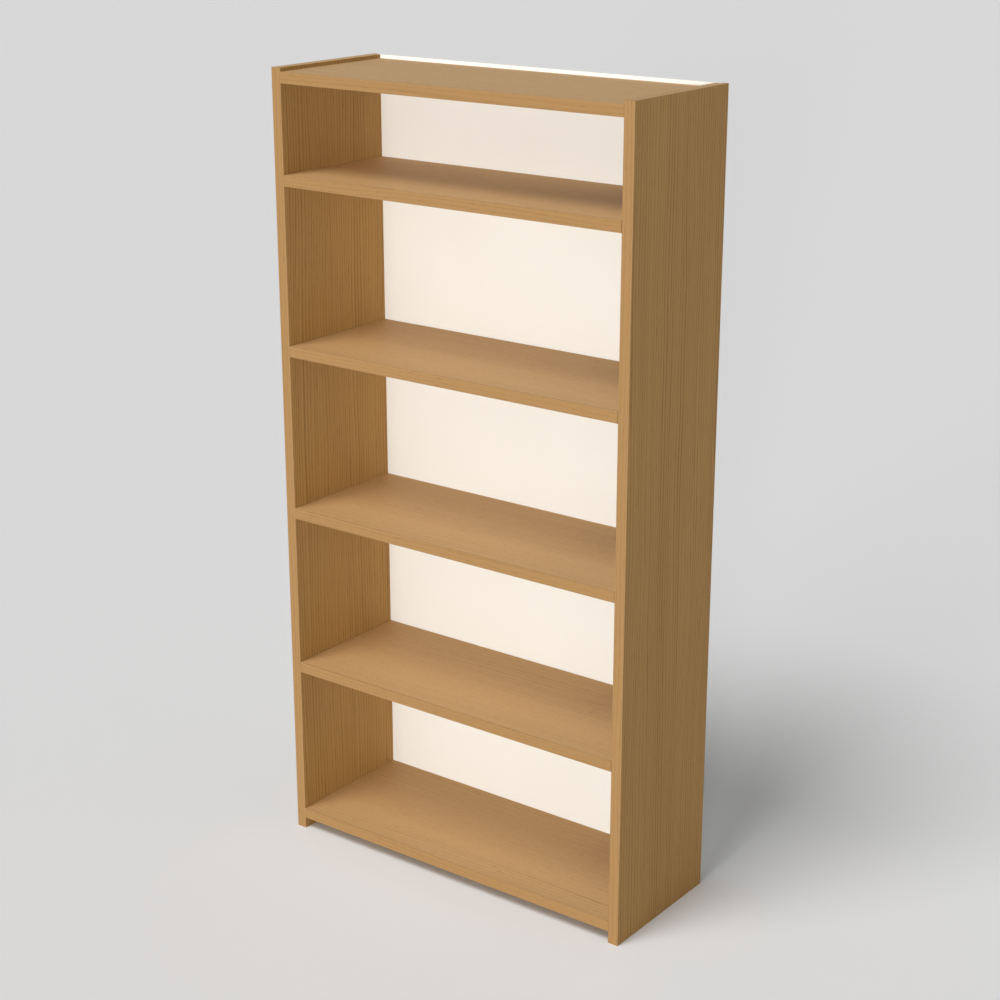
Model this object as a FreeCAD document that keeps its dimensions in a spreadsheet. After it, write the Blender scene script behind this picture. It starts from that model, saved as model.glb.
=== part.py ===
# An open-fronted oak bookcase, built as a knock-down case.
# Two full-height sides stand on the floor. The top, the middle shelf and the bottom are fixed between
# them with cam locks and dowels, three loose shelves lie on pins, and a back is screwed into rebates.
# Frame: origin in the middle of the footprint on the floor, +X right, +Y to the rear, +Z up.
# Lengths are in millimetres.
import FreeCAD, Part
import Sketcher
import os
import re

SHELF_COUNT = 4
MIDDLE_SHELF = "shelf_3"
SCREWS_ACROSS = 4
CAM_TURN = 120
HALF_TURN = 180

# How much of a strip's thickness, or of a tongue's width, a rounding may take.
EASING_RATIO = 0.9
ROUNDING_RATIO = 0.45

SIZES = [
    ("case_width", 925, "outer width over the sides"),
    ("case_depth", 340, "outer depth, edge strips and back included"),
    ("board_thickness", 25, "every oak board"),
    ("bay_height", 355, "clear height of the four equal bays"),
    ("top_bay_height", 195, "clear height of the bay under the top panel"),
    ("floor_gap", 27, "open gap under the bottom panel"),
    ("top_lip", 8, "how far the sides and the back stand above the top panel"),
    ("back_thickness", 10, "back panel, and the depth of the rebates that take it"),
    ("rebate_width", 12.5, "how far each rebate reaches into its side"),
    ("back_play", 0.5, "gap between the back panel and the wall of each rebate"),
    ("band_thickness", 2, "solid oak strip on the front edge of a board"),
    ("band_easing", 1, "rounding of the front corners of a strip"),
    ("shelf_end_play", 0.75, "gap between a loose shelf and each side"),
    ("shelf_rear_play", 1, "gap between a loose shelf and the back panel"),
    ("fitting_setback", 50, "first and last fitting, from the front and rear edge of a fixed board"),
    ("dowel_spacing", 32, "from a cam lock to the dowel beside it"),
    ("cam_radius", 7.5, "cam lock"),
    ("cam_reach", 34, "from the end of a fixed board to the middle of a cam lock"),
    ("cam_roof", 2.3, "metal of a cam lock above its chamber"),
    ("cam_recess", 0.3, "cam lock below the surface of its board"),
    ("cross_length", 8, "screwdriver cross in a cam lock"),
    ("cross_width", 1.6, "arm of that cross"),
    ("cross_depth", 2.5, "depth of that cross"),
    ("bolt_radius", 3, "threaded end of a cam bolt"),
    ("bolt_anchor", 11, "length of that thread in a side"),
    ("flange_radius", 3.8, "flange of a cam bolt, seated on a side"),
    ("flange_thickness", 2, "thickness of that flange"),
    ("shank_radius", 2.8, "shank of a cam bolt"),
    ("neck_radius", 1.9, "neck of a cam bolt, where the cam lock grips it"),
    ("neck_gap", 1, "from the end of the shank to the rim of the cam lock"),
    ("head_radius", 3.1, "head of a cam bolt"),
    ("head_thickness", 3, "thickness of that head"),
    ("dowel_radius", 4, "beech dowel"),
    ("dowel_length", 35, "whole length of a dowel"),
    ("dowel_anchor", 12, "length of a dowel in a side"),
    ("dowel_chamfer", 1, "chamfer on both ends of a dowel"),
    ("pin_setback", 60, "shelf pins, from the front and rear edge of a board"),
    ("pin_height", 8.5, "shelf pin below its shelf"),
    ("pin_tongue", 13, "tongue of a shelf pin, from the side to its tip"),
    ("pin_tip", 2, "thickness of the tongue at its tip"),
    ("pin_heel", 3, "thickness of a shelf pin at its lower edge"),
    ("pin_width", 9, "width of the tongue"),
    ("pin_rounding", 3, "rounding of the corners of the tongue"),
    ("spigot_radius", 2.5, "spigot of a shelf pin"),
    ("spigot_length", 8, "length of that spigot in a side"),
    ("screw_radius", 1.75, "shank of a back screw"),
    ("screw_length", 30, "whole length of a back screw"),
    ("screw_head_radius", 3.5, "countersunk head of a back screw"),
    ("screw_head_height", 2.2, "height of that head"),
    ("screw_recess", 0.2, "head below the rear face of the back panel"),
    ("screw_point", 5, "tapered end of a back screw"),
    ("screw_tip_radius", 0.3, "blunted tip of a back screw"),
    ("screw_cross_length", 4, "screwdriver cross in a back screw"),
    ("screw_cross_width", 0.9, "arm of that cross"),
    ("screw_cross_depth", 1.2, "depth of that cross"),
    ("fit_clearance", 0.1, "radial gap between a fitting and its bore"),
    ("end_clearance", 1, "spare depth at the bottom of a bore"),
]

doc = FreeCAD.newDocument("bookcase")
sheet = doc.addObject("Spreadsheet::Sheet", "Sizes")
for row, (alias, number, meaning) in enumerate(SIZES, start=1):
    sheet.set(f"A{row}", meaning)
    sheet.set(f"B{row}", str(number))
    sheet.setAlias(f"B{row}", alias)
doc.recompute()

# Places that many pieces share, written in the words of the sheet.
INNER = "(case_width / 2 - board_thickness)"
FRONT = "(-case_depth / 2)"
BOARD_FRONT = "(-case_depth / 2 + band_thickness)"
REAR = "(case_depth / 2)"
BACK_FACE = "(case_depth / 2 - back_thickness)"
PITCH = "(bay_height + board_thickness)"
TOP_LEVEL = f"(floor_gap + {SHELF_COUNT} * {PITCH} + board_thickness + top_bay_height)"
CASE_HEIGHT = f"({TOP_LEVEL} + board_thickness + top_lip)"
CAM_ROWS = [f"({BOARD_FRONT} + fitting_setback)", f"({BACK_FACE} - fitting_setback)"]
DOWEL_ROWS = [f"({CAM_ROWS[0]} + dowel_spacing)", f"({CAM_ROWS[1]} - dowel_spacing)"]
PIN_ROWS = [f"({BOARD_FRONT} + pin_setback)", f"({BACK_FACE} - pin_setback)"]
CHAMBER_HALF_HEIGHT = "(head_radius + fit_clearance)"
CHAMBER_RADIUS = "(sqrt(head_radius ^ 2 + head_thickness ^ 2) + fit_clearance)"
NECK_SLOT = "(2 * (neck_radius + fit_clearance))"
CAM_HEIGHT = f"(board_thickness / 2 + {CHAMBER_HALF_HEIGHT} + cam_roof - cam_recess)"
SCREW_START = f"({REAR} - screw_recess)"
PILOT_DEPTH = "(screw_length + screw_recess - back_thickness + end_clearance)"

# Underside of each board above the floor. Shelf 1 is the highest shelf.
LEVELS = {"top_panel": TOP_LEVEL, "bottom_panel": "floor_gap"}
for number in range(1, SHELF_COUNT + 1):
    LEVELS[f"shelf_{number}"] = f"(floor_gap + {SHELF_COUNT + 1 - number} * {PITCH})"
FIXED_BOARDS = {"top": "top_panel", "middle": MIDDLE_SHELF, "bottom": "bottom_panel"}
LOOSE_SHELVES = [name for name in LEVELS if name not in FIXED_BOARDS.values()]


def mid_height(board):
    """Half way up the edge of a board."""
    return f"({LEVELS[board]} + board_thickness / 2)"


# Back screws: one in each side at the middle of every bay, and a row in each fixed board.
BAY_MIDDLES = [
    f"(floor_gap + {bay} * {PITCH} + board_thickness + bay_height / 2)"
    for bay in range(SHELF_COUNT)
]
BAY_MIDDLES.append(f"({TOP_LEVEL} - top_bay_height / 2)")
SCREW_COLUMNS = [f"({INNER} * {(2 * index + 1) / SCREWS_ACROSS - 1})" for index in range(SCREWS_ACROSS)]
REBATE_MIDDLE = f"({INNER} + rebate_width / 2)"

# The two ends of a board: the sign of X there, the way out of the case and the way into it.
ENDS = ("left", "right")
SIGN = {"left": "-", "right": ""}
OUT = {"left": "-x", "right": "+x"}
INTO = {"left": "+x", "right": "-x"}

X_AXIS = FreeCAD.Vector(1, 0, 0)
Y_AXIS = FreeCAD.Vector(0, 1, 0)
Z_AXIS = FreeCAD.Vector(0, 0, 1)
TURNS = {
    "+x": FreeCAD.Rotation(Y_AXIS, 90),
    "-x": FreeCAD.Rotation(Y_AXIS, -90),
    "+y": FreeCAD.Rotation(X_AXIS, -90),
    "-y": FreeCAD.Rotation(X_AXIS, 90),
    "+z": FreeCAD.Rotation(),
}
ALIASES = {alias for alias, number, meaning in SIZES}
TOLERANCE = 1e-6
nodes = []


def with_sheet(text):
    """Point each word of an expression that is a size at its cell in the sheet."""
    return re.sub(r"[a-z_]+", lambda word: f"Sizes.{word[0]}" if word[0] in ALIASES else word[0], text)


def bind(thing, **expressions):
    """Tie properties to the sheet. The names x, y and z stand for the position."""
    for name, text in expressions.items():
        path = f"Placement.Base.{name}" if name in ("x", "y", "z") else name
        thing.setExpression(path, with_sheet(text))


def place(thing, rotation, at):
    """Turn a piece and tie its position to the sheet."""
    thing.Placement = FreeCAD.Placement(FreeCAD.Vector(), rotation)
    bind(thing, x=at[0], y=at[1], z=at[2])


def block(label, size, corner):
    """A box from its lowest corner."""
    piece = doc.addObject("Part::Box", label)
    bind(piece, Length=size[0], Width=size[1], Height=size[2])
    place(piece, TURNS["+z"], corner)
    return piece


def rod(label, radius, length, start, way):
    """A cylinder from the middle of its first end."""
    piece = doc.addObject("Part::Cylinder", label)
    bind(piece, Radius=radius, Height=length)
    place(piece, TURNS[way], start)
    return piece


def taper(label, first_radius, last_radius, length, start, way):
    """A cone frustum from the middle of its first end."""
    piece = doc.addObject("Part::Cone", label)
    bind(piece, Radius1=first_radius, Radius2=last_radius, Height=length)
    place(piece, TURNS[way], start)
    return piece


def joined(label, pieces):
    """Several shapes as one solid."""
    union = doc.addObject("Part::MultiFuse", label)
    union.Shapes = pieces
    return union


def group(label, pieces):
    """Several separate solids as one object."""
    compound = doc.addObject("Part::Compound", label)
    compound.Links = pieces
    return compound


def without(label, body, tools):
    """A body with tools cut away, which has to leave less of it than there was."""
    result = doc.addObject("Part::Cut", label)
    result.Base = body
    result.Tool = joined(f"{label}_cuts", tools)
    doc.recompute()
    if result.Shape.Volume > body.Shape.Volume - TOLERANCE:
        raise RuntimeError(f"{label}: the cuts took nothing away")
    return result


def keep(piece, name):
    """Name a finished piece, which then gets a file of its own."""
    piece.Label = name
    nodes.append(piece)


def attach(body, sketch, role):
    """Lay a sketch on one of its body's own planes."""
    plane = next(item for item in body.Origin.OriginFeatures if item.Role == role)
    sketch.AttachmentSupport = [(plane, "")]
    sketch.MapMode = "FlatFace"


def outline(body, label, plane, corners):
    """A closed outline of straight lines on one of a body's own planes, from its corners."""
    # The numbers that a sketch gives its own axes and the ends of a line.
    level_axis, upright_axis = -1, -2
    start, end = 1, 2
    sketch = body.newObject("Sketcher::SketchObject", label)
    attach(body, sketch, plane)
    count = len(corners)
    # The lines start at places that all differ, and the constraints then move them to the corners.
    rough = [FreeCAD.Vector(index, index * index, 0) for index in range(count)]
    for index in range(count):
        sketch.addGeometry(Part.LineSegment(rough[index], rough[(index + 1) % count]))
    for index, (across, up) in enumerate(corners):
        before = (index - 1) % count
        sketch.addConstraint(Sketcher.Constraint("Coincident", before, end, index, start))
        for kind, axis, text in (("DistanceX", upright_axis, across), ("DistanceY", level_axis, up)):
            if text == "0":
                sketch.addConstraint(Sketcher.Constraint("PointOnObject", index, start, axis))
            else:
                distance = Sketcher.Constraint(kind, level_axis, start, index, start, index + 1.0)
                number = sketch.addConstraint(distance)
                name = f"{kind}_{index}"
                sketch.renameConstraint(number, name)
                bind(sketch, **{f"Constraints.{name}": text})
    return sketch


def disc(body, label, plane, height, radius):
    """A circle on one of a body's own planes, straight above the origin."""
    # The numbers that a sketch gives its own axes, the origin on them and the middle of a circle.
    level_axis, upright_axis = -1, -2
    origin, centre = 1, 3
    sketch = body.newObject("Sketcher::SketchObject", label)
    attach(body, sketch, plane)
    sketch.addGeometry(Part.Circle(FreeCAD.Vector(0, 1, 0), Z_AXIS, 1))
    sketch.addConstraint(Sketcher.Constraint("PointOnObject", 0, centre, upright_axis))
    above_origin = (level_axis, origin, 0, centre)
    for kind, points, text in (("DistanceY", above_origin, height), ("Radius", (0,), radius)):
        number = sketch.addConstraint(Sketcher.Constraint(kind, *points, 1.0))
        sketch.renameConstraint(number, kind)
        bind(sketch, **{f"Constraints.{kind}": text})
    return sketch


def rounded(body, label, base, chosen, radius):
    """A fillet on the edges of a feature that a test picks."""
    doc.recompute()
    names = [f"Edge{index}" for index, edge in enumerate(base.Shape.Edges, start=1) if chosen(edge)]
    fillet = body.newObject("PartDesign::Fillet", label)
    fillet.Base = (base, names)
    bind(fillet, Radius=radius)
    return fillet


def is_upright(edge):
    """True where an edge runs along the body's own Z axis."""
    ends = [vertex.Point for vertex in edge.Vertexes]
    return len(ends) == 2 and (ends[1] - ends[0]).cross(Z_AXIS).Length < TOLERANCE


def edge_strip(name, length, rotation, at):
    """A solid oak strip, drawn as a rectangle, with its two front corners rounded."""
    body = doc.addObject("PartDesign::Body", name)
    corners = [
        ("0", "0"), ("board_thickness", "0"),
        ("board_thickness", "band_thickness"), ("0", "band_thickness"),
    ]
    pad = body.newObject("PartDesign::Pad", f"{name}_pad")
    pad.Profile = outline(body, f"{name}_section", "XY_Plane", corners)
    bind(pad, Length=length)
    rounded(
        body, f"{name}_easing", pad,
        lambda edge: is_upright(edge) and abs(edge.Vertexes[0].Y) < TOLERANCE,
        f"min(band_easing; {EASING_RATIO} * band_thickness)",
    )
    place(body, rotation, at)
    keep(body, name)


def pilot_hole(x, z):
    """The hole that a back screw's thread goes into, from the front face of the back panel."""
    return rod("pilot_hole", "screw_radius + fit_clearance", PILOT_DEPTH, (x, BACK_FACE, z), "-y")


def side_board(end):
    """A side with its rebate for the back and the bores for every fitting that meets it."""
    name = f"{end}_side"
    low_x = INNER if end == "right" else "-case_width / 2"
    depth = f"{REAR} - {BOARD_FRONT}"
    blank = block(f"{name}_blank", ("board_thickness", depth, CASE_HEIGHT), (low_x, BOARD_FRONT, "0"))
    rebate_x = INNER if end == "right" else f"-({INNER} + rebate_width)"
    rebate_size = ("rebate_width", "back_thickness", CASE_HEIGHT)
    cuts = [block(f"{name}_rebate", rebate_size, (rebate_x, BACK_FACE, "0"))]

    def bores(radius, depth, rows, height):
        for row in rows:
            start = (f"{SIGN[end]}{INNER}", row, height)
            width, reach = f"{radius} + fit_clearance", f"{depth} + end_clearance"
            cuts.append(rod("side_bore", width, reach, start, OUT[end]))

    for board in FIXED_BOARDS.values():
        bores("bolt_radius", "bolt_anchor", CAM_ROWS, mid_height(board))
        bores("dowel_radius", "dowel_anchor", DOWEL_ROWS, mid_height(board))
    for shelf in LOOSE_SHELVES:
        bores("spigot_radius", "spigot_length", PIN_ROWS, f"({LEVELS[shelf]} - pin_height / 2)")
    for height in BAY_MIDDLES:
        cuts.append(pilot_hole(f"{SIGN[end]}{REBATE_MIDDLE}", height))
    keep(without(name, blank, cuts), name)
    edge_strip(f"{name}_edge", CASE_HEIGHT, TURNS["+z"], (low_x, FRONT, "0"))


def fixed_board(name):
    """A board that is held between the sides, bored for its cam locks, bolts, dowels and back screws."""
    level = LEVELS[name]
    size = (f"2 * {INNER}", f"{BACK_FACE} - {BOARD_FRONT}", "board_thickness")
    blank = block(f"{name}_blank", size, (f"-{INNER}", BOARD_FRONT, level))
    cam_depth = f"{CAM_HEIGHT} + cam_recess + end_clearance"
    bolt_bore = "max(flange_radius; head_radius) + 2 * fit_clearance"
    dowel_bore = "dowel_radius + fit_clearance"
    dowel_depth = "dowel_length - dowel_anchor + end_clearance"
    middle = mid_height(name)
    cuts = [pilot_hole(x, middle) for x in SCREW_COLUMNS]
    for end in ENDS:
        for row in CAM_ROWS:
            cam_place = (f"{SIGN[end]}({INNER} - cam_reach)", row, level)
            bolt_start = (f"{SIGN[end]}{INNER}", row, middle)
            cuts.append(rod("cam_bore", "cam_radius + fit_clearance", cam_depth, cam_place, "+z"))
            cuts.append(rod("bolt_bore", bolt_bore, "cam_reach", bolt_start, INTO[end]))
        for row in DOWEL_ROWS:
            dowel_start = (f"{SIGN[end]}{INNER}", row, middle)
            cuts.append(rod("dowel_bore", dowel_bore, dowel_depth, dowel_start, INTO[end]))
    keep(without(name, blank, cuts), name)
    edge_place = (f"-{INNER}", FRONT, f"{level} + board_thickness")
    edge_strip(f"{name}_edge", f"2 * {INNER}", TURNS["+x"], edge_place)


def loose_shelf(name):
    """A plain board with a little play at its ends and at the back, so that it can be drawn out."""
    level = LEVELS[name]
    half_length = f"({INNER} - shelf_end_play)"
    size = (f"2 * {half_length}", f"{BACK_FACE} - shelf_rear_play - {BOARD_FRONT}", "board_thickness")
    keep(block(name, size, (f"-{half_length}", BOARD_FRONT, level)), name)
    edge_place = (f"-{half_length}", FRONT, f"{level} + board_thickness")
    edge_strip(f"{name}_edge", f"2 * {half_length}", TURNS["+x"], edge_place)


def cam_lock(end, row, board):
    """A cam in the underside of a board, turned so that it holds the head of its bolt."""
    x = f"{SIGN[end]}({INNER} - cam_reach)"
    low = f"({LEVELS[board]} + cam_recess)"
    middle = mid_height(board)
    blank = rod("cam_blank", "cam_radius", CAM_HEIGHT, (x, row, low), "+z")
    chamber_low = (x, row, f"{middle} - {CHAMBER_HALF_HEIGHT}")
    chamber = rod("cam_chamber", CHAMBER_RADIUS, f"2 * {CHAMBER_HALF_HEIGHT}", chamber_low, "+z")
    entry_y = row if end == "right" else f"{row} - 2 * cam_radius"
    entry_corner = (f"{x} - {CHAMBER_HALF_HEIGHT}", entry_y, f"{middle} - {CHAMBER_HALF_HEIGHT}")
    entry_size = (f"2 * {CHAMBER_HALF_HEIGHT}", "2 * cam_radius", f"2 * {CHAMBER_HALF_HEIGHT}")
    entry = block("cam_entry", entry_size, entry_corner)
    slot = rod("cam_slot", "2 * cam_radius", NECK_SLOT, (x, row, f"{middle} - {NECK_SLOT} / 2"), "+z")
    slot.Angle = CAM_TURN
    if end == "left":
        place(slot, FreeCAD.Rotation(Z_AXIS, HALF_TURN), (x, row, f"{middle} - {NECK_SLOT} / 2"))
    neck_x = x if end == "right" else f"{x} - 2 * cam_radius"
    neck_corner = (neck_x, f"{row} - {NECK_SLOT} / 2", f"{middle} - {NECK_SLOT} / 2")
    neck = block("cam_neck_slot", ("2 * cam_radius", NECK_SLOT, NECK_SLOT), neck_corner)
    arms = [("cross_length", "cross_width"), ("cross_width", "cross_length")]
    cross = [
        block("cam_cross", (long, wide, "cross_depth"), (f"{x} - {long} / 2", f"{row} - {wide} / 2", low))
        for long, wide in arms
    ]
    return without("cam_lock", blank, [chamber, entry, slot, neck] + cross)


def cam_bolt(end, row, board):
    """A bolt that is screwed into a side and reaches into its cam lock."""
    out, into = OUT[end], INTO[end]
    face = (f"{SIGN[end]}{INNER}", row, mid_height(board))
    head_end = (f"{SIGN[end]}({INNER} - cam_reach)", row, mid_height(board))
    return joined("cam_bolt", [
        rod("bolt_thread", "bolt_radius", "bolt_anchor", face, out),
        rod("bolt_flange", "flange_radius", "flange_thickness", face, into),
        rod("bolt_shank", "shank_radius", "cam_reach - cam_radius - neck_gap", face, into),
        rod("bolt_neck", "neck_radius", "cam_reach", face, into),
        rod("bolt_head", "head_radius", "head_thickness", head_end, out),
    ])


def dowel(end, row, board):
    """A chamfered beech dowel, part of it in a side and the rest in a board."""
    into = INTO[end]

    def along(distance):
        return (f"{SIGN[end]}({INNER} + dowel_anchor - ({distance}))", row, mid_height(board))

    thin = "dowel_radius - dowel_chamfer"
    last_chamfer = along("dowel_length - dowel_chamfer")
    return joined("dowel", [
        taper("dowel_end", thin, "dowel_radius", "dowel_chamfer", along("0"), into),
        rod("dowel_middle", "dowel_radius", "dowel_length - 2 * dowel_chamfer", along("dowel_chamfer"), into),
        taper("dowel_end", "dowel_radius", thin, "dowel_chamfer", last_chamfer, into),
    ])


def shelf_pin(end, row, shelf):
    """A shelf pin: a wedge-shaped tongue under the shelf and a round spigot in the side."""
    body = doc.addObject("PartDesign::Body", "shelf_pin")
    corners = [
        ("0", "0"), ("pin_heel", "0"), ("pin_tongue", "pin_height - pin_tip"),
        ("pin_tongue", "pin_height"), ("0", "pin_height"),
    ]
    tongue = body.newObject("PartDesign::Pad", "pin_tongue_pad")
    tongue.Profile = outline(body, "pin_profile", "XZ_Plane", corners)
    tongue.SideType = "Symmetric"
    bind(tongue, Length="pin_width")
    rounded(
        body, "pin_corners", tongue,
        lambda edge: is_upright(edge) and abs(edge.Vertexes[0].X - sheet.pin_tongue) < TOLERANCE,
        f"min(pin_rounding; {ROUNDING_RATIO} * pin_width)",
    )
    spigot = body.newObject("PartDesign::Pad", "pin_spigot_pad")
    spigot.Profile = disc(body, "pin_spigot", "YZ_Plane", "pin_height / 2", "spigot_radius")
    spigot.Reversed = True
    bind(spigot, Length="spigot_length")
    turn = FreeCAD.Rotation(Z_AXIS, HALF_TURN if end == "right" else 0)
    place(body, turn, (f"{SIGN[end]}{INNER}", row, f"{LEVELS[shelf]} - pin_height"))
    return body


def screw_places():
    """Where the back screws go: X and Z of each."""
    for end in ENDS:
        for height in BAY_MIDDLES:
            yield f"{SIGN[end]}{REBATE_MIDDLE}", height
    for board in FIXED_BOARDS.values():
        for column in SCREW_COLUMNS:
            yield column, mid_height(board)


def back_panel():
    """The back, which lies in the rebates of the sides, with a countersunk hole for each screw."""
    half_width = f"({INNER} + rebate_width - back_play)"
    size = (f"2 * {half_width}", "back_thickness", f"{CASE_HEIGHT} - floor_gap")
    blank = block("back_blank", size, (f"-{half_width}", BACK_FACE, "floor_gap"))
    wide = "screw_head_radius + fit_clearance"
    narrow = "screw_radius + fit_clearance"
    cuts = []
    for x, z in screw_places():
        cuts.append(rod("hole_rim", wide, "screw_recess", (x, REAR, z), "-y"))
        cuts.append(taper("hole_countersink", wide, narrow, "screw_head_height", (x, SCREW_START, z), "-y"))
        cuts.append(rod("hole_shank", narrow, "back_thickness", (x, REAR, z), "-y"))
    keep(without("back_panel", blank, cuts), "back_panel")


def back_screw(x, z):
    """A countersunk screw with a cross in its head, driven from the rear."""
    start = (x, SCREW_START, z)
    end_start = (x, f"{SCREW_START} - screw_length + screw_point", z)
    blank = joined("screw_blank", [
        taper("screw_head", "screw_head_radius", "screw_radius", "screw_head_height", start, "-y"),
        rod("screw_shank", "screw_radius", "screw_length - screw_point", start, "-y"),
        taper("screw_end", "screw_radius", "screw_tip_radius", "screw_point", end_start, "-y"),
    ])
    arms = [("screw_cross_length", "screw_cross_width"), ("screw_cross_width", "screw_cross_length")]
    cross = [
        block(
            "screw_cross", (long, "screw_cross_depth", wide),
            (f"{x} - {long} / 2", f"{SCREW_START} - screw_cross_depth", f"{z} - {wide} / 2"),
        )
        for long, wide in arms
    ]
    return without("back_screw", blank, cross)


def at_each_corner(make, rows, board):
    """One fitting at each end of a board in each row."""
    return [make(end, row, board) for end in ENDS for row in rows]


for end in ENDS:
    side_board(end)
for name in LEVELS:
    if name in LOOSE_SHELVES:
        loose_shelf(name)
    else:
        fixed_board(name)
back_panel()
for where, board in FIXED_BOARDS.items():
    keep(group(f"cam_locks_{where}", at_each_corner(cam_lock, CAM_ROWS, board)), f"cam_locks_{where}")
    keep(group(f"cam_bolts_{where}", at_each_corner(cam_bolt, CAM_ROWS, board)), f"cam_bolts_{where}")
    keep(group(f"dowels_{where}", at_each_corner(dowel, DOWEL_ROWS, board)), f"dowels_{where}")
for shelf in LOOSE_SHELVES:
    keep(group(f"{shelf}_pins", at_each_corner(shelf_pin, PIN_ROWS, shelf)), f"{shelf}_pins")
keep(group("back_screws", [back_screw(x, z) for x, z in screw_places()]), "back_screws")
doc.recompute()

# Every object has to be sound before any file is written.
for thing in doc.Objects:
    if "Invalid" in thing.State or "Error" in thing.State:
        raise RuntimeError(f"{thing.Label} failed: {thing.State}")
for piece in nodes:
    if piece.Shape.isNull() or not piece.Shape.isValid() or not piece.Shape.Solids:
        raise RuntimeError(f"{piece.Label} has no sound solid")

os.makedirs("parts", exist_ok=True)
for piece in nodes:
    piece.Shape.exportStep(f"parts/{piece.Label}.step")
    print(f"{piece.Label}: {len(piece.Shape.Solids)} solids, {piece.Shape.Volume:.0f} cubic millimetres")
print(f"{len(nodes)} pieces written")
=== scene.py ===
# %% [markdown]
# # An open oak bookcase, finished in Blender
#
# The boards, strips and fittings of this bookcase come as a fixed frame, in metres, with +Z up and the
# front towards -Y. This lesson gives them their finish: a cream back, plated fittings, and oak that
# follows the way each board was sawn. Then it sets the floor, the light and the camera.

# %% Load the frame
import math

import bmesh
import bpy
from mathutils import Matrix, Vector


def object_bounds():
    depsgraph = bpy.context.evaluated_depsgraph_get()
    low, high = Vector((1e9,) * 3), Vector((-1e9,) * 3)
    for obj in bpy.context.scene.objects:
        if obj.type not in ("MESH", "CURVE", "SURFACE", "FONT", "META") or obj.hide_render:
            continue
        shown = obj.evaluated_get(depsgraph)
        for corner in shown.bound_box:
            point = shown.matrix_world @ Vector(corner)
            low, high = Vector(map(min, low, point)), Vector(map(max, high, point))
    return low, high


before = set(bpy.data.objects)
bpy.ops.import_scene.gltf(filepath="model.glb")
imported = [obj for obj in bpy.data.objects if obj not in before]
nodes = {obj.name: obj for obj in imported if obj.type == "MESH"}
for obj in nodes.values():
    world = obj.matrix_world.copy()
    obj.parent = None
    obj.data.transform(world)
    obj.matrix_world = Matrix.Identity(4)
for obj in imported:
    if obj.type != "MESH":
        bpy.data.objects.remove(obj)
cad_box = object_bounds()
case_low, case_high = (Vector(corner) for corner in cad_box)
print("pieces in the frame:", len(nodes), "overall size:", [round(size, 4) for size in case_high - case_low])

# %% [markdown]
# A finish is a tree of small steps: a pattern, a change of range, a mix of colours, and at the end the
# surface shader. The steps could be joined by hand in the shader editor, but this case wears some twenty
# finishes that differ only in a few numbers. So one helper makes a step, sets what is constant on it
# and links what varies, and another hands a finish to the pieces that wear it.


# %% Steps of a finish
def step(tree, kind, values=None, links=None, **settings):
    """One shader node: settings are its own options, values are constants, links are other sockets."""
    made = tree.nodes.new(kind)
    for option, setting in settings.items():
        setattr(made, option, setting)
    for socket, value in (values or {}).items():
        made.inputs[socket].default_value = value
    for socket, source in (links or {}).items():
        tree.links.new(source, made.inputs[socket])
    return made


def new_finish(name):
    """A new material, its shader tree and its surface shader."""
    material = bpy.data.materials.new(name)
    material.use_nodes = True
    tree = material.node_tree
    return material, tree, tree.nodes["Principled BSDF"]


def dress(names, material):
    """Give pieces of the frame this finish in place of the plain one that they came with."""
    for name in names:
        slots = nodes[name].data.materials
        slots.clear()
        slots.append(material)
    print(material.name, "on", len(names), "pieces")


print("plain finishes that came with the frame:", len(bpy.data.materials))

# %% [markdown]
# Hardly anything on a real case has one even colour. Noise is the usual way to say so: it fills a board
# of any size, never repeats and needs no picture. Nearly all of a noise lies between 0.3 and 0.7, so it
# is spread over the range that is wanted. Patterns read Object coordinates, which are metres here, and
# so every scale below is in features to the metre.

# %% Patterns and mixes
NOISE_LOW, NOISE_HIGH = 0.3, 0.7


def remap(tree, source, low, high, new_low, new_high):
    """Bring a pattern from one range to another, cut off at both ends."""
    values = {"From Min": low, "From Max": high, "To Min": new_low, "To Max": new_high}
    return step(tree, "ShaderNodeMapRange", values, {"Value": source}).outputs["Result"]


def noise(tree, point, per_metre, detail=2.0):
    """A noise pattern from 0 to 1, with so many features to the metre."""
    values = {"Scale": per_metre, "Detail": detail}
    return step(tree, "ShaderNodeTexNoise", values, {"Vector": point}).outputs["Fac"]


def mottle(tree, point, per_metre, low, high):
    """A noise spread over a range of its own."""
    return remap(tree, noise(tree, point, per_metre), NOISE_LOW, NOISE_HIGH, low, high)


def blend(tree, share, first, second):
    """A share of the second colour over the first, which is a colour or a socket."""
    factor, start, end, result = 0, 6, 7, 2
    values, links = {end: (*second, 1.0)}, {factor: share}
    if isinstance(first, tuple):
        values[start] = (*first, 1.0)
    else:
        links[start] = first
    return step(tree, "ShaderNodeMix", values, links, data_type="RGBA").outputs[result]


print("each noise is spread from", NOISE_LOW, "to", NOISE_HIGH)

# %% [markdown]
# The back is a lacquered board. Rolled lacquer is never quite flat: it has a fine pebble, which shows
# only where light grazes it, and its tone drifts by a percent or two. The pebble could be modelled, but
# it is thinner than a hair, so a bump from a fine noise does. A slow noise gives the drift.

# %% Finish the back
CREAM, CREAM_DEEP = (0.894, 0.888, 0.838), (0.875, 0.866, 0.813)
DRIFT_PER_METRE, PEBBLE_PER_METRE = 3.5, 700.0
PEBBLE = {"Strength": 0.12, "Distance": 0.0002}
MATT, DEAD_MATT = 0.66, 0.78
LACQUER_GLEAM = 0.2


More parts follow.
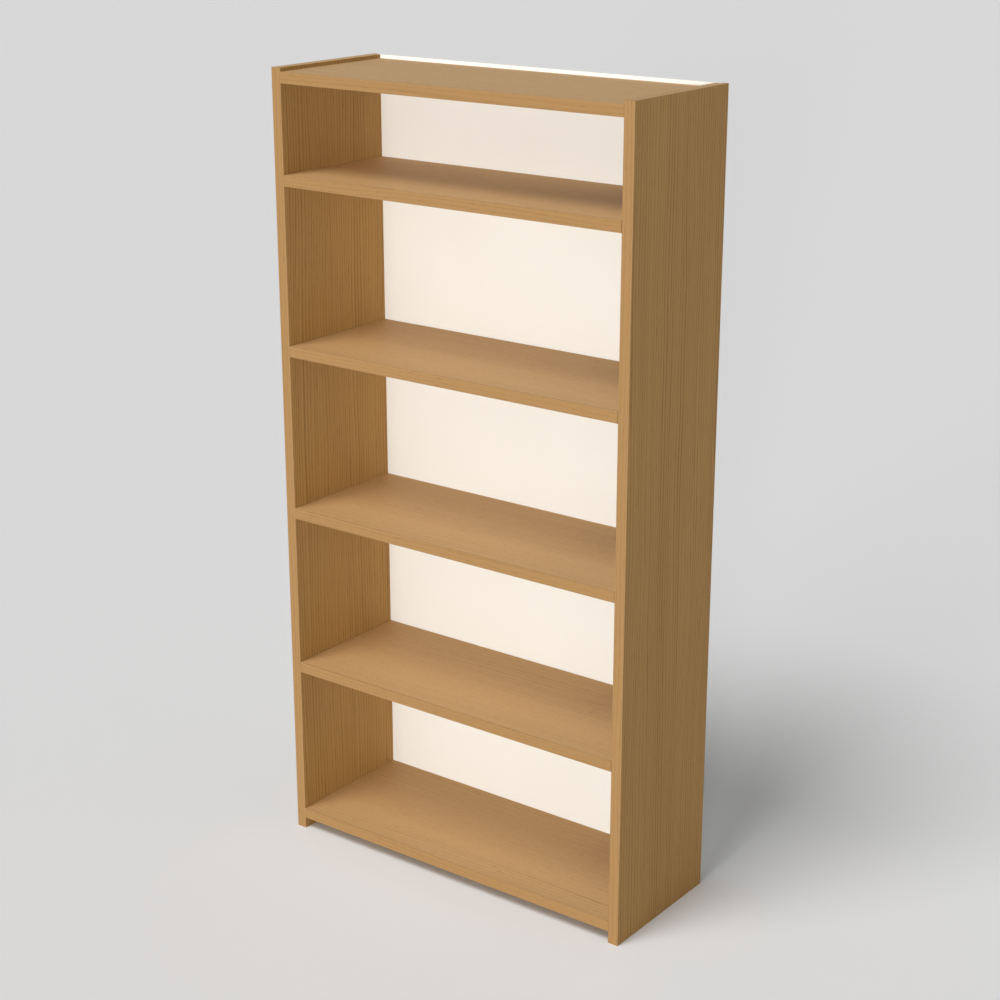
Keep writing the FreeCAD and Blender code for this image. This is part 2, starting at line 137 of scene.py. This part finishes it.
def lacquer(name, colour, deep):
    """Matt rolled lacquer."""
    material, tree, surface = new_finish(name)
    point = step(tree, "ShaderNodeTexCoord").outputs["Object"]
    drift = mottle(tree, point, DRIFT_PER_METRE, 0.0, 1.0)
    tree.links.new(blend(tree, drift, colour, deep), surface.inputs["Base Color"])
    pebble = noise(tree, point, PEBBLE_PER_METRE)
    tree.links.new(remap(tree, pebble, NOISE_LOW, NOISE_HIGH, MATT, DEAD_MATT), surface.inputs["Roughness"])
    relief = step(tree, "ShaderNodeBump", PEBBLE, {"Height": pebble})
    tree.links.new(relief.outputs["Normal"], surface.inputs["Normal"])
    surface.inputs["Specular IOR Level"].default_value = LACQUER_GLEAM
    return material


dress(["back_panel"], lacquer("cream_lacquer", CREAM, CREAM_DEEP))

# %% [markdown]
# The pins, bolts and screws are plated steel, and the cam locks are cast zinc. Metal takes its colour
# from what it mirrors, so its own colour stays pale and the roughness does the work: tumbled plating is
# bright and blotchy, a casting is duller. One recipe with two gloss ranges makes both.

# %% Finish the metal fittings
PLATED, PLATED_DULL = (0.66, 0.66, 0.64), (0.55, 0.55, 0.54)
PLATED_GLOSS = 0.22, 0.36
CAST, CAST_DULL = (0.46, 0.46, 0.47), (0.37, 0.37, 0.38)
CAST_GLOSS = 0.38, 0.55
BLOTCHES_PER_METRE = 420.0
fixed_boards = ["top", "middle", "bottom"]


def metal(name, colour, dull_colour, gloss):
    """Metal whose gloss and tone vary a little from place to place."""
    smooth, rough = gloss
    material, tree, surface = new_finish(name)
    point = step(tree, "ShaderNodeTexCoord").outputs["Object"]
    blotch = mottle(tree, point, BLOTCHES_PER_METRE, 0.0, 1.0)
    tree.links.new(blend(tree, blotch, colour, dull_colour), surface.inputs["Base Color"])
    tree.links.new(remap(tree, blotch, 0.0, 1.0, smooth, rough), surface.inputs["Roughness"])
    surface.inputs["Metallic"].default_value = 1.0
    return material


plated_steel = metal("plated_steel", PLATED, PLATED_DULL, PLATED_GLOSS)
dress(["shelf_1_pins", "shelf_2_pins", "shelf_4_pins", "back_screws"], plated_steel)
dress([f"cam_bolts_{board}" for board in fixed_boards], plated_steel)
cast_zinc = metal("cast_zinc", CAST, CAST_DULL, CAST_GLOSS)
dress([f"cam_locks_{board}" for board in fixed_boards], cast_zinc)

# %% [markdown]
# Oak grows a ring each year: a band of open pores in spring, then dense wood until autumn. A board that
# is sawn across the rings shows them as straight lines, a few millimetres apart and never evenly. A
# picture of wood would not go round an edge, so the rings here are planes through the wood: the distance
# across them, divided by the width of a ring, counts the years, and the fraction of that number is the
# season. Two noises, pulled out along the grain, make the rings wander.

# %% Growth rings
RING_WIDTH = 0.0085
SLOW_PER_METRE, SLOW_STRETCH, SLOW_WANDER = 9.0, 0.10, 0.045
QUICK_PER_METRE, QUICK_STRETCH, QUICK_WANDER = 75.0, 0.02, 0.009
SPRING_END, AUTUMN_END = 0.45, 0.88
POOREST_YEAR = 0.3


def sums(tree, operation, first, second=None):
    """One sum with one or two numbers, of which the second may be a constant."""
    values, links = {}, {0: first}
    if isinstance(second, float):
        values[1] = second
    elif second is not None:
        links[1] = second
    return step(tree, "ShaderNodeMath", values, links, operation=operation).outputs[0]


def drawn_out(tree, point, along, stretch):
    """Coordinates that pull a pattern out along the grain."""
    scale = [1.0, 1.0, 1.0]
    scale["XYZ".index(along)] = stretch
    return step(tree, "ShaderNodeMapping", {"Scale": scale}, {"Vector": point}).outputs["Vector"]


def growth_rings(tree, point, along, across):
    """How far each place is into spring wood, from 0 to 1, and how strong its year was."""
    measure = step(tree, "ShaderNodeVectorMath", {1: across}, {0: point}, operation="DOT_PRODUCT")
    slow = noise(tree, drawn_out(tree, point, along, SLOW_STRETCH), SLOW_PER_METRE)
    quick = noise(tree, drawn_out(tree, point, along, QUICK_STRETCH), QUICK_PER_METRE)
    wander = sums(tree, "MULTIPLY", slow, SLOW_WANDER)
    wander = sums(tree, "ADD", wander, sums(tree, "MULTIPLY", quick, QUICK_WANDER))
    years = sums(tree, "DIVIDE", sums(tree, "ADD", measure.outputs["Value"], wander), RING_WIDTH)
    season, year = sums(tree, "FRACT", years), sums(tree, "FLOOR", years)
    luck = step(tree, "ShaderNodeTexWhiteNoise", None, {"W": year}, noise_dimensions="1D").outputs["Value"]
    fading = remap(tree, season, 0.0, SPRING_END, 1.0, 0.0)
    starting = remap(tree, season, AUTUMN_END, 1.0, 0.0, 1.0)
    return sums(tree, "MAXIMUM", fading, starting), remap(tree, luck, 0.0, 1.0, POOREST_YEAR, 1.0)


print("growth rings to the metre:", round(1 / RING_WIDTH))

# %% [markdown]
# The pores are what the eye takes for grain: thin dark dashes along the board, thick in the spring wood
# and thin between. They could be painted on, but they are also real dents in the lacquer. A fine noise,
# pulled out twenty-five times and cut off high, makes one mask that serves for all three: it darkens the
# wood, dulls it and feeds the bump.

# %% Pores
PORES_PER_METRE, PORE_STRETCH = 1000.0, 0.04
PORE_START, PORE_FULL = 0.56, 0.70
AUTUMN_PORES = 0.25
MILLIMETRE = 0.001


def pores(tree, point, along, spring):
    """Where a pore lies: rarely in dense wood, and up to 1 in spring wood."""
    dashes = noise(tree, drawn_out(tree, point, along, PORE_STRETCH), PORES_PER_METRE, detail=1.0)
    dashes = remap(tree, dashes, PORE_START, PORE_FULL, 0.0, 1.0)
    return sums(tree, "MULTIPLY", dashes, remap(tree, spring, 0.0, 1.0, AUTUMN_PORES, 1.0))


pore_length = 1 / PORES_PER_METRE / PORE_STRETCH
print("a pore is about", round(pore_length / MILLIMETRE), "millimetres long")

# %% [markdown]
# Hands and cloths rub the corners of a board most: there the lacquer is thin and the wood shows lighter.
# The corners could be marked by hand on each board, but the shader can find them: on a flat face the
# largest part of the surface's normal is 1, and only on a rounded corner is it less. A patchy noise keeps
# the wear from looking drawn.

# %% Worn corners
FLAT_FACE, ROUND_CORNER = 0.995, 0.80
PATCHES_PER_METRE = 60.0
LEAST_WEAR, MOST_WEAR = 0.1, 0.6


def worn_corners(tree, point):
    """Where a rounded corner has been rubbed: 0 on flat faces."""
    normal = step(tree, "ShaderNodeTexCoord").outputs["Normal"]
    size = step(tree, "ShaderNodeVectorMath", None, {0: normal}, operation="ABSOLUTE").outputs["Vector"]
    part_x, part_y, part_z = step(tree, "ShaderNodeSeparateXYZ", None, {0: size}).outputs
    largest = sums(tree, "MAXIMUM", sums(tree, "MAXIMUM", part_x, part_y), part_z)
    rounded = remap(tree, largest, FLAT_FACE, ROUND_CORNER, 0.0, 1.0)
    return sums(tree, "MULTIPLY", rounded, mottle(tree, point, PATCHES_PER_METRE, LEAST_WEAR, MOST_WEAR))


print("a corner starts at", round(math.degrees(math.acos(FLAT_FACE)), 1), "degrees off a flat face")

# %% [markdown]
# The top ends of the sides are as pale as the top panel. On the sides that paler end tone is painted light,
# which lifts the ends that face up out of the painted shade of the sides' faces. A second finish on the end
# faces would leave a hard seam. The normal again knows better: on an end it runs along the grain.

# %% End faces, with painted light on the top ends of the sides
END_START, END_FULL = 0.7, 0.95
END_SHARE = 0.85


def end_grain_and_painted_top_light(tree, along):
    """How much of the end tone shows: most of it where the surface lies across the grain. On the sides it is
    painted light.
    """
    normal = step(tree, "ShaderNodeTexCoord").outputs["Normal"]
    parts = step(tree, "ShaderNodeSeparateXYZ", None, {0: normal}).outputs
    lengthwise = sums(tree, "ABSOLUTE", parts["XYZ".index(along)])
    return remap(tree, lengthwise, END_START, END_FULL, 0.0, END_SHARE)


print("an end starts at", round(math.degrees(math.acos(END_START))), "degrees off the grain")

# %% [markdown]
# Rings, pores, ends and wear together make the wood: dense wood, more open wood in each spring and in a
# few broad bands, dark pores, pale ends and corners. The lacquer on it is satin, so it is fairly rough and
# gleams only a little. Each board could have steps of its own, but one recipe serves them all. It is told
# how the grain runs, how the rings lie, the tones, and a seed, which moves the whole pattern, as if the
# board came from another part of the tree.

# %% Lacquered wood
SEED_SHIFT = Vector((1.37, 0.71, 2.11))
BANDS_PER_METRE, BAND_STRETCH, BAND_SHARE = 5.0, 0.15, 0.3
PORE_SHARE = 0.6
SATIN, SATIN_DULL = 0.56, 0.72
PORE_DENTS = {"Strength": 0.3, "Distance": 0.0003}
OAK_GLEAM = 0.15


def wood(name, along, across, seed, tones):
    """Satin-lacquered wood: grain along one axis, rings across a direction, and a tone for each part."""
    material, tree, surface = new_finish(name)
    whole = step(tree, "ShaderNodeTexCoord").outputs["Object"]
    place = step(tree, "ShaderNodeMapping", {"Location": seed * SEED_SHIFT}, {"Vector": whole})
    point = place.outputs["Vector"]
    spring, strength = growth_rings(tree, point, along, across)
    dashes = pores(tree, point, along, spring)
    bands = mottle(tree, drawn_out(tree, point, along, BAND_STRETCH), BANDS_PER_METRE, 0.0, BAND_SHARE)
    tone = blend(tree, sums(tree, "MULTIPLY", spring, strength), tones["dense"], tones["open"])
    tone = blend(tree, bands, tone, tones["open"])
    # The end tone: on the sides it is painted light on their top ends.
    tone = blend(tree, end_grain_and_painted_top_light(tree, along), tone, tones["end"])
    tone = blend(tree, sums(tree, "MULTIPLY", dashes, PORE_SHARE), tone, tones["pore"])
    tone = blend(tree, worn_corners(tree, point), tone, tones["worn"])
    tree.links.new(tone, surface.inputs["Base Color"])
    tree.links.new(remap(tree, dashes, 0.0, 1.0, SATIN, SATIN_DULL), surface.inputs["Roughness"])
    dents = step(tree, "ShaderNodeBump", PORE_DENTS, {"Height": dashes}, invert=True)
    tree.links.new(dents.outputs["Normal"], surface.inputs["Normal"])
    surface.inputs["Specular IOR Level"].default_value = OAK_GLEAM
    return material


print("the lacquer's roughness is", SATIN, "and in the pores", SATIN_DULL)

# %% [markdown]
# The sides were cut with upright grain. Their tones are darker than the shelves' as painted shade on their
# broad faces, which turn away from the main light, and their end tone is painted light on their top ends.
# They could share a finish, but no two boards are cut alike, so each gets its own seed. Each also gets a
# factor a
# little darker or paler: partly a tone of its own, and mostly painted light and shade for how the light
# falls on that board.

# %% Finish the sides
# Darker than the shelves' tones as painted shade on the side faces; the end tone is painted light on the top
# ends.
SIDE_TONES_WITH_PAINTED_SHADE = {
    "dense": (0.410, 0.233, 0.074), "open": (0.252, 0.135, 0.037), "pore": (0.145, 0.075, 0.020),
    "end": (0.550, 0.345, 0.150), "worn": (0.470, 0.310, 0.140),
}
SIDE_RINGS = (0.34, 0.94, 0.0)
# Painted light and shade for each side: the right side is made darker, the left a little paler.
SIDE_PAINTED_LIGHT_AND_SHADE = {"left_side": 1.02, "right_side": 0.92}
sides = list(SIDE_PAINTED_LIGHT_AND_SHADE)


def with_painted_light_and_shade(tones, shade):
    """The tones of one board times its factor, which is partly a tone of its own and mostly painted light
    and shade.
    """
    return {part: tuple(level * shade for level in tone) for part, tone in tones.items()}


for seed, side in enumerate(sides):
    tones = with_painted_light_and_shade(SIDE_TONES_WITH_PAINTED_SHADE, SIDE_PAINTED_LIGHT_AND_SHADE[side])
    dress([side], wood(f"oak_{side}", "Z", SIDE_RINGS, seed, tones))

# %% [markdown]
# The top, the bottom and the shelves were cut with the grain along them. Their tones are paler than those of
# the sides and strips as painted light on their tops, which get less light than the fronts. Their factors
# are partly a tone of their own and mostly painted light and shade; the largest lifts the top shelf out of
# the shadow of the top panel. They are dressed in the same way, and their seeds go on where those of the
# sides end.

# %% Finish the top, the bottom and the shelves
# Paler than the sides' and strips' tones, as painted light on the tops.
SHELF_TONES_WITH_PAINTED_LIGHT = {
    "dense": (0.557, 0.346, 0.156), "open": (0.463, 0.281, 0.118), "pore": (0.240, 0.138, 0.055),
    "end": (0.577, 0.362, 0.162), "worn": (0.600, 0.410, 0.210),
}
SHELF_RINGS = (0.0, 0.94, 0.34)
# Painted light and shade for each board: shelf_1, under the shadow of the top panel, is made palest.
SHELF_PAINTED_LIGHT_AND_SHADE = {
    "top_panel": 0.98, "shelf_1": 1.12, "shelf_2": 1.02,
    "shelf_3": 1.05, "shelf_4": 1.08, "bottom_panel": 1.03,
}
flat_boards = list(SHELF_PAINTED_LIGHT_AND_SHADE)

for seed, board in enumerate(flat_boards, start=len(sides)):
    tones = with_painted_light_and_shade(SHELF_TONES_WITH_PAINTED_LIGHT, SHELF_PAINTED_LIGHT_AND_SHADE[board])
    dress([board], wood(f"oak_{board}", "X", SHELF_RINGS, seed, tones))

# %% [markdown]
# A solid strip is glued along the front of each board and hides its core. It is a different cut of the
# same oak: its rings lie across its narrow face, so the front looks plainer than the boards. The grain
# of a strip runs along it, upright on the sides and level on the rest.

# %% Finish the edge strips
# Darker than the shelves' tones as painted shade on the fronts, which face the strongest light.
STRIP_TONES_WITH_PAINTED_SHADE = {
    "dense": (0.356, 0.203, 0.078), "open": (0.303, 0.169, 0.060), "pore": (0.173, 0.093, 0.031),
    "end": (0.356, 0.203, 0.078), "worn": (0.440, 0.285, 0.145),
}
UPRIGHT_STRIP_RINGS, LEVEL_STRIP_RINGS = (0.94, 0.34, 0.0), (0.0, 0.34, 0.94)
FIRST_STRIP_SEED = 20

for seed, board in enumerate(sides + flat_boards, start=FIRST_STRIP_SEED):
    strip = f"{board}_edge"
    along, across = ("Z", UPRIGHT_STRIP_RINGS) if board in sides else ("X", LEVEL_STRIP_RINGS)
    dress([strip], wood(f"oak_{strip}", along, across, seed, STRIP_TONES_WITH_PAINTED_SHADE))

# %% [markdown]
# The dowels are raw beech: a dense, even wood with faint rings and short dark flecks. They are hidden in
# the joints, so the recipe for oak serves, with beech's tones and the grain along the dowel.

# %% Finish the dowels
BEECH_TONES = {
    "dense": (0.60, 0.42, 0.25), "open": (0.54, 0.37, 0.21), "pore": (0.38, 0.24, 0.12),
    "end": (0.52, 0.35, 0.20), "worn": (0.64, 0.47, 0.30),
}
BEECH_SEED = 40

beech = wood("raw_beech", "X", SHELF_RINGS, BEECH_SEED, BEECH_TONES)
dress([f"dowels_{board}" for board in fixed_boards], beech)

# %% [markdown]
# A studio floor is a wide sheet of pale paper. It is part of the stage and not of the bookcase. It could
# curve up behind the case as a backdrop, but then the rear could not be seen, so it lies flat and reaches
# to the horizon. Paper has no gleam, which keeps it one tone from all sides.

# %% Floor
FLOOR_HALF = 60.0
PAPER = 0.88
scene = bpy.context.scene

floor_mesh = bpy.data.meshes.new("studio_floor")
floor = bpy.data.objects.new("studio_floor", floor_mesh)
scene.collection.objects.link(floor)
sheet = bmesh.new()
bmesh.ops.create_grid(sheet, x_segments=1, y_segments=1, size=FLOOR_HALF)
sheet.to_mesh(floor_mesh)
sheet.free()
floor_paper, _, paper_surface = new_finish("floor_paper")
paper_surface.inputs["Base Color"].default_value = (PAPER, PAPER, PAPER, 1.0)
paper_surface.inputs["Roughness"].default_value = 1.0
paper_surface.inputs["Specular IOR Level"].default_value = 0.0
floor_mesh.materials.append(floor_paper)
print("floor", 2 * FLOOR_HALF, "metres wide")

# %% [markdown]
# The light comes mostly from the front, so the bays are bright and the right side is the darkest face.
# Lamps of a real size would leave the floor dark far off, and a sun lights it evenly to the horizon. A low
# sun reaches straight to the back of the bays. The fill stands to the right, but less so than the camera,
# so the shadow of the right side stays hidden behind it. A wide sun half way up reaches on to the shelves,
# a high one lays a soft shadow of each shelf on the shelf below, and a low one behind shows the rear.

# %% Suns
# Where each sun stands as seen from the case, its level and its spread in degrees.
SUNS = {
    "front_sun": ((0.0, -1.0, 0.06), 0.20, 14.0),
    "fill_sun": ((0.55, -1.0, 0.08), 0.53, 8.0),
    "middle_sun": ((-0.15, -1.0, 0.60), 0.145, 40.0),
    "high_sun": ((-0.25, -1.0, 1.95), 0.52, 28.0),
    "rear_sun": ((0.0, 1.0, 0.04), 0.30, 8.0),
}


def sun(name, direction, level, spread):
    """A sun at a level where 1 shows a white sheet that faces it as white."""
    lamp = bpy.data.lights.new(name, "SUN")
    lamp.energy = math.pi * level
    lamp.angle = math.radians(spread)
    holder = bpy.data.objects.new(name, lamp)
    holder.rotation_euler = (-direction).to_track_quat("-Z", "Y").to_euler()
    scene.collection.objects.link(holder)


floor_light = 0.0
for name, (stand, level, spread) in SUNS.items():
    direction = Vector(stand).normalized()
    sun(name, direction, level, spread)
    floor_light += level * direction.z
    print(name, "at level", level)
print("the suns light the floor at level", round(floor_light, 3))

# %% [markdown]
# An even white sky fills the shadows. If the camera saw that sky, the background would be darker than
# the floor. A light path can tell a look from a lighting ray, so what is seen of the sky, straight on or
# mirrored in metal, is a backdrop, and it lights nothing. It has the tone of the lit floor, which is the
# paper's own tone times the light that falls on it, so the horizon can't be seen.

# %% Sky and backdrop
SKY_LIGHT = 0.18
floor_tone = PAPER * (floor_light + SKY_LIGHT)

world = bpy.data.worlds.new("studio")
scene.world = world
world.use_nodes = True
sky_tree = world.node_tree
sky = sky_tree.nodes["Background"]
sky.inputs["Color"].default_value = (1.0, 1.0, 1.0, 1.0)
sky.inputs["Strength"].default_value = SKY_LIGHT
backdrop = step(sky_tree, "ShaderNodeBackground", {"Color": (floor_tone, floor_tone, floor_tone, 1.0)})
ray = step(sky_tree, "ShaderNodeLightPath").outputs
seen = sums(sky_tree, "MAXIMUM", ray["Is Camera Ray"], ray["Is Glossy Ray"])
seen = sums(sky_tree, "MAXIMUM", seen, ray["Is Transmission Ray"])
shown = step(sky_tree, "ShaderNodeMixShader", None, {0: seen, 1: sky.outputs[0], 2: backdrop.outputs[0]})
sky_tree.links.new(shown.outputs[0], sky_tree.nodes["World Output"].inputs["Surface"])
print("sky at level", SKY_LIGHT, "behind a backdrop of", round(floor_tone, 3))

# %% [markdown]
# The camera stands where the photograph was taken from: to the right of the front, a little above the
# case. A wide lens close by would make the near side lean out, so it is a long lens from between four and
# five metres.

# %% Camera
CAMERA_PLACE = Vector((2.53192, -3.34943, 2.28609))
CAMERA_AZIMUTH = math.radians(36.878)
CAMERA_ELEVATION = math.radians(18.579)
LENS = 72.17

camera_data = bpy.data.cameras.new("camera")
camera_data.lens = LENS
camera = bpy.data.objects.new("camera", camera_data)
camera.location = CAMERA_PLACE
camera.rotation_euler = (math.pi / 2 - CAMERA_ELEVATION, 0.0, CAMERA_AZIMUTH)
scene.collection.objects.link(camera)
scene.camera = camera
scene.view_settings.view_transform = "Standard"
middle = (case_low + case_high) / 2
print("camera", round((CAMERA_PLACE - middle).length, 2), "metres from the middle of the case")
